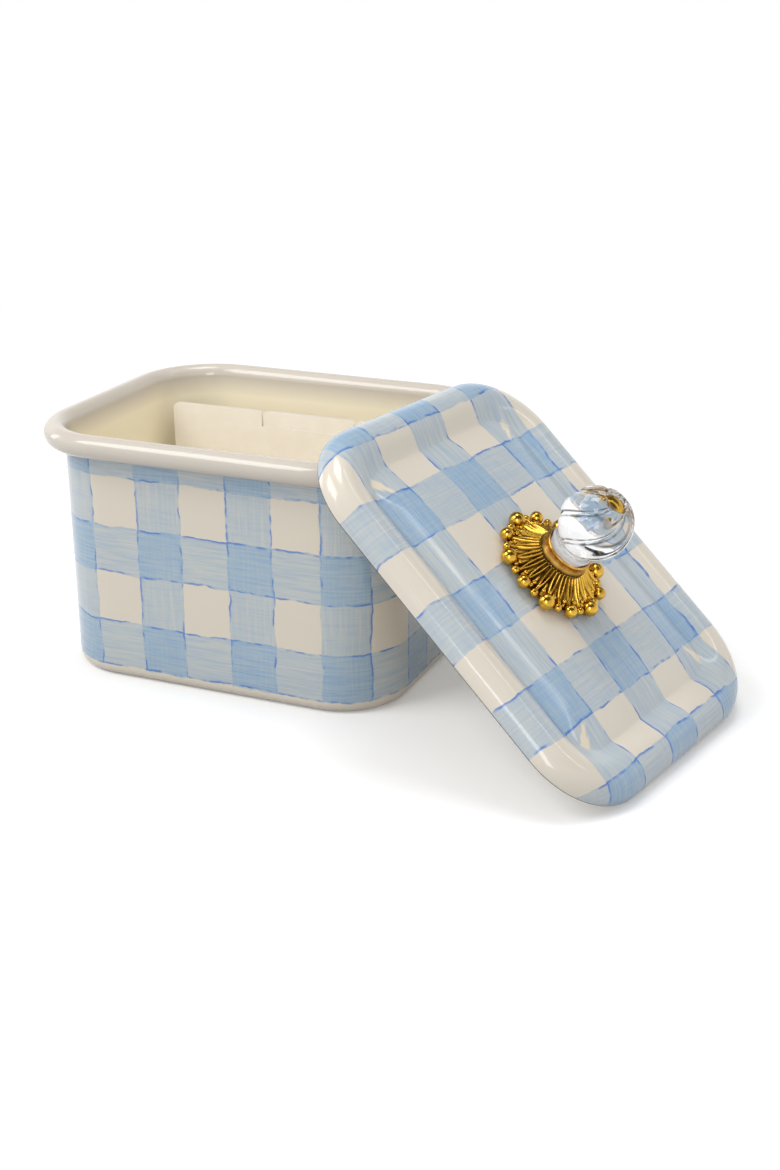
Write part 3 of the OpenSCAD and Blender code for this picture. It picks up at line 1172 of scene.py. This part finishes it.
    def select_open_loop(self, obj: bpy.types.Object, height: float) -> None:
        """Selects the open edges that lie at a height.

        Args:
            obj: The lid.
            height: Their height in millimetres.
        """
        start_alone(obj)
        edit_mode(selected=False)
        select_open_edges()
        bpy.ops.object.mode_set(mode="OBJECT")
        mesh = obj.data
        for edge in mesh.edges:
            if edge.select:
                level = mesh.vertices[edge.vertices[0]].co.z / MM
                edge.select = abs(level - height) < self.sheet / 4
        for vertex in mesh.vertices:
            vertex.select = False
        for edge in mesh.edges:
            if edge.select:
                for index in edge.vertices:
                    mesh.vertices[index].select = True
        bpy.ops.object.mode_set(mode="EDIT")

    def build(self, material: bpy.types.Material, lean: Lean) -> bpy.types.Object:
        """Builds the lid and leans it.

        Args:
            material: Its enamel.
            lean: Where it stands.

        Returns:
            The piece that stands for the CAD node.
        """
        half = (self.half_x, self.half_y)
        obj = swept("enamelled_lid", self.section(), half, self.corner_steps, self.side_steps)
        close_surface(obj)
        for drop in (0.0, self.sheet):
            self.select_open_loop(obj, self.valley_z - drop)
            self.draw_dome(drop)
        close_surface(obj)
        store_cells(obj, self.cell_place)
        store_rules(obj, {"painted": self.is_outside, "lining": self.is_inside, "dark_edge": self.dark_edge})
        put_in_place(obj, lean.lid())
        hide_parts("lid_shell")
        dress(obj, material, "lid")
        return obj

    def is_outside(self, spot: Vector) -> float:
        """Tells whether a point lies on the outer surface.

        Args:
            spot: The point in the lid's frame, in metres.

        Returns:
            1 if it does, else 0.
        """
        x, y, z = in_mm(spot)
        u = self.edge_distance(x, y)[0]
        if u >= self.valley_w - 0.01:
            return 1.0 if z > self.surface_height(x, y) - self.sheet / 2 else 0.0
        nearest = min(math.hypot(point[0] - u, point[1] - z) for point in self.outer)
        return 1.0 if nearest < self.sheet * 0.45 else 0.0

    def is_inside(self, spot: Vector) -> float:
        """Gives 1 for a point that isn't on the outer surface, else 0."""
        return 1.0 - self.is_outside(spot)

    def dark_edge(self, spot: Vector) -> float:
        """Gives how bare the metal shows at the edge of the hem."""
        return smooth_share(0.75, 0.4, spot.z / MM)

    def surface_height(self, x: float, y: float) -> float:
        """Gives the height of the domed panel over a point, rounded corners left out.

        Args:
            x: Place along the lid.
            y: Place across the lid.

        Returns:
            The height over the rim plane.
        """
        along = abs(x) / (self.width / 2 - self.valley_w)
        across = abs(y) / (self.depth / 2 - self.valley_w)
        return self.dome_height(min(1.0, max(along, across)))


class Bead(Enum):
    """The sizes of bead round the rosette, by radius in millimetres."""

    LARGE = 3.7
    MIDDLE = 3.0
    SMALL = 1.9
    SEED = 1.05


@dataclass
class Rosette:
    """The cast rosette: a flared flange under pairs of round ribs, edged with beads."""

    ring_r: float = 24.6
    bead_z: float = 3.7
    pairs: int = 6
    neck_r: float = 11.4
    height: float = 10.8
    edge_r: float = 23.4
    flat_r: float = 20.5
    under_r: float = 22.4
    under_h: float = 1.2
    bore_r: float = 2.2
    rib_w: float = 1.05
    rib_h: float = 1.7
    tongue_w: float = 1.5
    tongue_h: float = 1.1
    seed_turn: float = 7.5
    steps: int = 720
    rings: int = 44

    def surface_height(self, share: float) -> float:
        """Gives the height of the flare, from the edge at 0 to the neck at 1."""
        return self.bead_z - 0.9 + (self.height - 0.2 - self.bead_z) * share ** 1.35 + 0.5 * share

    def rib_height(self, turn: float, share: float) -> float:
        """Gives the relief of the ribs, which meet two by two at the beads.

        Args:
            turn: Angle round the rosette in degrees.
            share: 0 at the edge, 1 at the neck.

        Returns:
            Height over the hollow between the ribs, in millimetres.
        """
        step = 90 / self.pairs
        radius = self.edge_r + (self.neck_r - self.edge_r) * share
        best = 0.0
        first = math.floor(turn / step)
        for index in (first, first + 1):
            sway = 0.6 * math.sin(index * 2.4) + 1.1 * math.sin(3.0 * share + index * 1.9)
            off = turn - index * step - sway * (1 - share)
            spread = step / 4 * (0.12 + 0.88 * smooth_share(0.0, 0.8, share))
            width = self.rib_w - 0.4 * share + 0.1 * math.sin(index * 1.7)
            for side in (-1, 1):
                away = math.radians(abs(off - side * spread)) * radius / width
                if away < 1:
                    best = max(best, (0.5 + 0.5 * math.cos(math.pi * away)) * (self.rib_h - 0.6 * share))
        away = math.radians(abs(turn - (first + 0.5) * step)) * radius / (self.tongue_w - 0.7 * share)
        if away < 1:
            tongue = smooth_share(0.7, 0.3, share) * smooth_share(0.0, 0.12, share)
            best = max(best, (0.5 + 0.5 * math.cos(math.pi * away)) * tongue * self.tongue_h)
        return best * smooth_share(1.0, 0.93, share)

    def bead(self, size: Bead, turn: float) -> bpy.types.Object:
        """Makes one bead, slightly pressed to its mould.

        Args:
            size: Which bead it is.
            turn: Its angle round the rosette in degrees.

        Returns:
            The bead.
        """
        reach = self.ring_r
        level = self.bead_z
        if size is Bead.SMALL:
            reach -= 0.6
            level -= 0.6
        elif size is Bead.SEED:
            reach -= 3.9
            level += 1.0
        start_alone()
        bpy.ops.mesh.primitive_uv_sphere_add(segments=36, ring_count=20, radius=size.value * MM)
        obj = bpy.context.object
        pressed_z = -0.6 * size.value * MM
        edit_mode(selected=False)
        bpy.ops.object.mode_set(mode="OBJECT")
        for vertex in obj.data.vertices:
            vertex.select = vertex.co.z < pressed_z
        bpy.ops.object.mode_set(mode="EDIT")
        bpy.ops.transform.resize(value=(1, 1, 0.8), center_override=(0, 0, pressed_z))
        bpy.ops.object.mode_set(mode="OBJECT")
        bpy.ops.object.shade_smooth()
        angle = math.radians(turn)
        spot = Vector((reach * math.cos(angle), reach * math.sin(angle), level)) * MM
        put_in_place(obj, Matrix.Translation(spot))
        return obj

    def build(self, material: bpy.types.Material, lean: Lean) -> bpy.types.Object:
        """Builds the rosette on the lid's seat.

        Args:
            material: Its metal.
            lean: Where the seat is.

        Returns:
            The piece that stands for the CAD node.
        """
        chain: List[Point2] = [(self.bore_r, 0.0), (self.flat_r, 0.0), (self.under_r, self.under_h)]
        chain.append((self.edge_r, self.bead_z - 1.6))
        for i in range(self.rings + 1):
            share = i / self.rings
            radius = self.edge_r + (self.neck_r - self.edge_r) * share
            chain.append((radius, self.surface_height(share)))
        chain += [(self.neck_r - 0.3, self.height), (self.bore_r, self.height), (self.bore_r, 0.0)]
        obj = turned("gilt_rosette", chain, self.steps)
        # Painted shade: the hollows between the ribs are darkened, less so towards the neck.
        painted_shade = []
        for vertex in obj.data.vertices:
            x, y, z = in_mm(vertex.co)
            share = (self.edge_r - math.hypot(x, y)) / (self.edge_r - self.neck_r)
            if z < self.bead_z - 1.0 or not -0.001 <= share < 0.999:
                painted_shade.append(0.0)
                continue
            rib = self.rib_height(math.degrees(math.atan2(y, x)) % 360, share)
            vertex.co.z += rib * MM
            painted_shade.append(smooth_share(0.95, 0.1, rib) * (1 - 0.25 * share))
        store_points(obj, "painted_shade", painted_shade)
        parts = [obj]
        for i in range(2 * self.pairs):
            turn = 180 * i / self.pairs
            parts.append(self.bead(Bead.LARGE if i % 2 == 0 else Bead.MIDDLE, turn))
            parts.append(self.bead(Bead.SMALL, turn + 90 / self.pairs))
            parts.append(self.bead(Bead.SEED, turn + self.seed_turn))
            parts.append(self.bead(Bead.SEED, turn - self.seed_turn))
        obj = join_all(parts, "gilt_rosette")
        put_in_place(obj, lean.seat())
        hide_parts("knob_rosette")
        dress(obj, material, "lid")
        return obj


@dataclass
class Collar:
    """The plain ring between the rosette and the glass."""

    low_z: float = 10.8
    height: float = 5.2
    outer_r: float = 11.9
    lip_r: float = 11.3
    lip_round: float = 0.6
    dip: float = 0.35
    cup_r: float = 9.0
    cup_z: float = 2.6
    bore_r: float = 2.2
    side_steps: int = 12
    steps: int = 160

    def build(self, material: bpy.types.Material, lean: Lean) -> bpy.types.Object:
        """Builds the collar on the rosette.

        Args:
            material: Its metal.
            lean: Where the seat is.

        Returns:
            The piece that stands for the CAD node.
        """
        chain: List[Point2] = [(self.bore_r, 0.0), (self.outer_r - 0.2, 0.0), (self.outer_r, 0.2)]
        for i in range(self.side_steps + 1):
            share = i / self.side_steps
            radius = self.outer_r + (self.lip_r - self.outer_r) * share - math.sin(math.pi * share) * self.dip
            chain.append((radius, 0.5 + (self.height - 1.2) * share))
        lip = self.lip_round
        chain += arc_points(self.lip_r - lip, self.height - lip, lip, 0, 150, 10)
        chain += [(self.cup_r + 0.4, self.height - 1.3), (self.cup_r, self.height - 1.5)]
        chain += [(self.cup_r, self.cup_z), (self.bore_r, self.cup_z), (self.bore_r, 0.0)]
        obj = turned("gilt_collar", [(r, z + self.low_z) for r, z in chain], self.steps)
        # Painted shade: the cup under the lip and the foot among the rosette's ribs are darkened.
        painted_shade = []
        for vertex in obj.data.vertices:
            x, y, z = in_mm(vertex.co)
            level = z - self.low_z
            inside = smooth_share(self.lip_r - 0.7, self.lip_r - 1.3, math.hypot(x, y))
            inside *= smooth_share(self.height - 1.6, self.height - 1.2, level)
            foot = smooth_share(2.2, 0.3, level)
            painted_shade.append(max(inside, 0.85 * foot))
        store_points(obj, "painted_shade", painted_shade)
        put_in_place(obj, lean.seat())
        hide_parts("knob_collar")
        dress(obj, material, "lid")
        return obj


@dataclass
class GlassBall:
    """The clear knob: spigot, foot, waist and a ball with twisted lobes."""

    foot_r: float = 10.2
    foot_h: float = 2.4
    waist_r: float = 8.6
    waist_h: float = 1.4
    spigot_r: float = 8.8
    foot_z: float = 16.4
    spigot_low: float = 13.5
    ball_r: float = 16.0
    ball_h: float = 28.6
    tip_r: float = 5.0
    hollow_r: float = 6.2
    hollow: float = 1.8
    lobes: int = 6
    twist: float = 100.0
    groove: float = 1.2
    levels: int = 84
    steps: int = 360

    def __post_init__(self) -> None:
        """Works out the sizes that follow from the fields."""
        self.low = (1 - math.sqrt(1 - (self.waist_r / self.ball_r) ** 2)) / 2
        self.high = 1 - (1 - math.sqrt(1 - (self.hollow_r / self.ball_r) ** 2)) / 2
        self.ball_z = self.foot_z + self.foot_h + self.waist_h

    def round_radius(self, share: float) -> float:
        """Gives the ball's radius without its grooves, at a share of its height."""
        return self.ball_r * math.sqrt(max(0.0, 1 - (2 * share - 1) ** 2))

    def build(self, material: bpy.types.Material, lean: Lean) -> bpy.types.Object:
        """Builds the glass on the lid's seat.

        Args:
            material: Its glass.
            lean: Where the seat is.

        Returns:
            The piece that stands for the CAD node.
        """
        span = self.high - self.low
        chain: List[Point2] = [(0.0, self.spigot_low), (self.spigot_r - 0.3, self.spigot_low)]
        chain += [(self.spigot_r, self.spigot_low + 0.3), (self.spigot_r, self.foot_z)]
        middle = self.foot_h / 2
        chain += arc_points(self.foot_r - middle, self.foot_z + middle, middle, -90, 90, 14)
        chain.append((self.waist_r + 0.1, self.foot_z + self.foot_h + 0.3))
        chain.append((self.waist_r, self.ball_z - self.waist_h / 2))
        for level in range(self.levels + 1):
            share = self.low + span * (1 - math.cos(math.pi * level / self.levels)) / 2
            height = self.ball_z + (share - self.low) / span * self.ball_h
            chain.append((self.round_radius(share), height))
        top = self.ball_z + self.ball_h
        chain += [(self.hollow_r - 0.25, top), (self.hollow_r - 0.5, top - 0.03)]
        chain += [(self.tip_r + 0.35, top - 0.5), (self.tip_r + 0.1, top - self.hollow + 0.2)]
        chain.append((self.tip_r - 0.1, top - self.hollow))
        chain.append((0.0, top - self.hollow))
        obj = turned("glass_ball", chain, self.steps)
        dark = []
        ground = []
        for vertex in obj.data.vertices:
            x, y, z = in_mm(vertex.co)
            radius = math.hypot(x, y)
            ground.append(smooth_share(self.ball_z - 0.4, self.ball_z - 1.2, z))
            if z < self.ball_z or radius < self.hollow_r - 0.1:
                dark.append(0.0)
                continue
            share = self.low + (z - self.ball_z) / self.ball_h * span
            turn = math.degrees(math.atan2(y, x))
            wave = abs(math.sin(math.radians(self.lobes * (turn - self.twist * share) / 2 + 90)))
            ends = smooth_share(0.0, 1.5, z - self.ball_z) * smooth_share(0.0, 1.5, radius - self.hollow_r)
            cut = self.groove * (1 - math.sqrt(1 - wave * wave)) ** 1.6
            cut *= min(1.0, radius / self.ball_r * 1.4) * ends
            # Mask of the painted dark refraction lines along both sides of each groove.
            off = math.degrees(math.acos(min(1.0, wave))) / 90
            line = smooth_share(0.08, 0.14, off) * smooth_share(0.30, 0.20, off)
            dark.append(line * ends)
            vertex.co.x *= (radius - cut) / radius
            vertex.co.y *= (radius - cut) / radius
        store_points(obj, "groove", dark)
        store_points(obj, "ground", ground)
        put_in_place(obj, lean.seat())
        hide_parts("knob_glass")
        dress(obj, material, "lid")
        return obj


@dataclass(frozen=True)
class PhotoCamera:
    """The camera, solved from the outlines in the photograph."""

    azimuth: float = 23.905
    elevation: float = 20.997
    roll: float = -0.545
    focal_pixels: float = 1735.64
    image_height: float = 1170.0
    sensor: float = 36.0
    right_by: float = 55.890
    up_by: float = 28.054
    back_by: float = 864.166

    def build(self) -> bpy.types.Object:
        """Makes the camera and gives it to the scene.

        Returns:
            The camera.
        """
        azimuth, elevation, roll = (math.radians(turn) for turn in (self.azimuth, self.elevation, self.roll))
        back = Vector((
            math.sin(azimuth) * math.cos(elevation),
            -math.cos(azimuth) * math.cos(elevation),
            math.sin(elevation),
        ))
        level = Vector((math.cos(azimuth), math.sin(azimuth), 0))
        steep = back.cross(level)
        right = math.cos(roll) * level + math.sin(roll) * steep
        up = -math.sin(roll) * level + math.cos(roll) * steep
        start_alone()
        bpy.ops.object.camera_add()
        camera = bpy.context.object
        camera.name = "photo_camera"
        camera.data.sensor_fit = "AUTO"
        camera.data.sensor_width = self.sensor
        camera.data.lens = self.focal_pixels / self.image_height * self.sensor
        camera.data.clip_start = 0.02
        camera.data.clip_end = 50.0
        turn = Matrix((right, up, back)).transposed().to_4x4()
        spot = (right * self.right_by + up * self.up_by + back * self.back_by) * MM
        camera.matrix_world = Matrix.Translation(spot) @ turn
        bpy.context.scene.camera = camera
        return camera


@dataclass(frozen=True)
class SoftBox:
    """One area lamp, with places and sizes in metres."""

    name: str
    place: Point3
    aim: Point3
    size: Point2
    power: float
    along: Point3 = (0.0, 0.0, 1.0)

    def build(self) -> bpy.types.Object:
        """Makes the lamp, with the second of its sizes along the given direction.

        Returns:
            The lamp.
        """
        start_alone()
        bpy.ops.object.light_add(type="AREA", location=self.place)
        lamp = bpy.context.object
        lamp.name = self.name
        lamp.data.shape = "RECTANGLE"
        lamp.data.size, lamp.data.size_y = self.size
        lamp.data.energy = self.power
        away = (Vector(self.place) - Vector(self.aim)).normalized()
        along = Vector(self.along)
        along = (along - along.dot(away) * away).normalized()
        turn = Matrix((along.cross(away), along, away)).transposed().to_4x4()
        lamp.matrix_world = Matrix.Translation(self.place) @ turn
        return lamp


@dataclass
class Studio:
    """Pale floor, soft lamps and a white surround under a dark ceiling, in metres."""

    floor_size: float = 12.0
    floor_drop: float = 0.0001
    fade_from: float = 0.45
    fade_to: float = 0.9
    floor_white: float = 0.9
    floor_bounce: float = 0.5
    floor_glow: float = 0.15
    low_ambient: float = 0.36
    high_ambient: float = 0.62
    ceiling: float = 0.10
    lamps: Sequence[SoftBox] = (
        SoftBox("key_softbox", (-0.85, -0.88, 1.4), (0.05, 0, 0.05), (0.9, 0.9), 14.5),
        SoftBox(
            "crest_strip", (0.97, 0.45, 1.22), (0.146, -0.037, 0.066), (0.08, 1.3), 1.4,
            along=(0.73, -0.14, -0.67),
        ),
        SoftBox("top_softbox", (0.0, 0.1, 1.7), (0.0, 0, 0.05), (0.6, 0.6), 6.8, along=(1, 0, 0)),
        SoftBox("front_fill", (0.6, -1.5, 0.55), (0.1, 0, 0.05), (0.4, 0.9), 5.4),
        SoftBox("left_strip", (-1.5, 0.0, 0.5), (-0.1, 0, 0.05), (0.3, 0.7), 1.8),
    )

    def seen_mask(self, board: Board) -> Socket:
        """Gives 1 for camera, glossy and transmission rays.

        Args:
            board: Board of the tree that asks.

        Returns:
            The mask.
        """
        path = board.add("LightPath").outputs
        mirrored = board.plus(path["Is Camera Ray"], path["Is Glossy Ray"])
        return board.math("ADD", mirrored, path["Is Transmission Ray"], clamped=True)

    def build_world(self) -> None:
        """Makes the surround: white round the horizon, dark above for the reflections."""
        world = bpy.data.worlds.new("studio_white")
        world.use_nodes = True
        world.node_tree.nodes.clear()
        board = Board(world.node_tree)
        height = board.parts(board.add("TexCoord").outputs["Generated"])[2]
        through = board.add("LightPath").outputs["Is Transmission Ray"]
        sight = board.math("MAXIMUM", board.step(height, 0.30, 0.62, 1.0, self.ceiling), through)
        ambient = board.step(height, -0.1, 0.9, self.low_ambient, self.high_ambient)
        seen = self.seen_mask(board)
        strength = board.plus(board.times(sight, seen), board.times(ambient, board.minus(1.0, seen)))
        background = board.add("Background", {"Color": (1, 1, 1, 1), "Strength": strength})
        board.add("OutputWorld", {"Surface": background.outputs[0]})
        bpy.context.scene.world = world

    def build_floor(self) -> bpy.types.Object:
        """Makes the floor, which fades to plain white away from the box.

        Returns:
            The floor.
        """
        start_alone()
        bpy.ops.mesh.primitive_plane_add(size=self.floor_size, location=(0, 0, -self.floor_drop))
        floor = bpy.context.object
        floor.name = "studio_floor"
        material = bpy.data.materials.new("studio_floor")
        material.use_nodes = True
        material.node_tree.nodes.clear()
        board = Board(material.node_tree)
        seen = self.seen_mask(board)
        shade = board.plus(board.times(seen, self.floor_white - self.floor_bounce), self.floor_bounce)
        diffuse = board.add("BsdfDiffuse", {"Color": shade})
        glow = board.add("Emission", {"Strength": board.times(seen, self.floor_glow)})
        near = board.add("AddShader", {0: diffuse.outputs[0], 1: glow.outputs[0]})
        white = board.add("Emission", {"Strength": board.plus(board.times(seen, 0.6), 0.4)})
        place = board.add("TexCoord").outputs["Object"]
        length = board.add("VectorMath", {0: place}, operation="LENGTH").outputs["Value"]
        far = board.step(length, self.fade_from, self.fade_to)
        fade = board.add("MixShader", {0: far, 1: near.outputs[0], 2: white.outputs[0]})
        board.add("OutputMaterial", {"Surface": fade.outputs[0]})
        floor.data.materials.append(material)
        return floor

    def build(self) -> None:
        """Makes the camera, the lamps, the floor and the surround."""
        PhotoCamera().build()
        for lamp in self.lamps:
            lamp.build()
        self.build_world()
        self.build_floor()
        bpy.context.scene.view_settings.view_transform = "Standard"


def dress_solids(gilt: bpy.types.Material, steel: bpy.types.Material, fibre: bpy.types.NodeTree) -> None:
    """Gives the pieces that keep the shape of their solids a finish.

    Args:
        gilt: The metal of the tip.
        steel: The metal of the fixings.
        fibre: The fibres of the dividers and the cards.
    """
    divider_board = PlainPaper("divider_board", fibre, linear(250, 244, 236), linear(243, 236, 225)).build()
    card_stock = PlainPaper("card_stock", fibre, linear(243, 238, 226), linear(234, 228, 214)).build()
    finishes = {"knob_tip": gilt, "knob_stud": steel, "knob_washer": steel, "knob_nut": steel}
    finishes.update({"divider_%d" % number: divider_board for number in range(1, 7)})
    finishes["recipe_cards"] = card_stock
    for name, material in finishes.items():
        give_material(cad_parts[name], material)


def main() -> None:
    """Builds every piece in order."""
    logging.basicConfig(level=logging.INFO, format="%(name)s: %(message)s")
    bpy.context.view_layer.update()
    Studio().build()
    bands = brushed_bands_group()
    enamel_skin = enamel_skin_group()
    metal_skin = metal_skin_group()
    lean = Lean()
    box_enamel = PaintedEnamel(
        "box_enamel", bands, enamel_skin,
        # The box's rim is its cream darkened as painted shade; its inside is a lighter cream, lightened
        # further as painted light.
        ground=linear(218, 209, 193), rim=linear(205, 197, 186), inside=linear(255, 246, 220),
        wash=linear(150, 179, 197), deep_wash=linear(122, 160, 200), stroke=linear(38, 108, 194),
        lowest_cell=0.0,
    ).build()
    lid_enamel = PaintedEnamel(
        "lid_enamel", bands, enamel_skin,
        ground=linear(221, 213, 199), rim=linear(221, 213, 199), inside=linear(230, 219, 198),
        wash=linear(150, 180, 200), deep_wash=linear(124, 163, 206), stroke=linear(34, 104, 196),
    ).build()
    # The darker colour of each metal is the painted shade of its hollows, also used for its worn spots.
    gilt = GiltMetal("gilt_metal", metal_skin, linear(220, 174, 68), linear(62, 36, 5)).build()
    satin = GiltMetal("gilt_satin", metal_skin, linear(214, 164, 82), linear(52, 30, 8), gloss=0.26).build()
    BoxShell().build(box_enamel)
    LidShell().build(lid_enamel, lean)
    Rosette().build(gilt, lean)
    Collar().build(satin, lean)
    GlassBall().build(ClearGlass("clear_glass").build(), lean)
    dress_solids(gilt, PlatedSteel("plated_steel", metal_skin).build(), paper_fibre_group())
    start_alone()


if __name__ == "__main__":
    main()
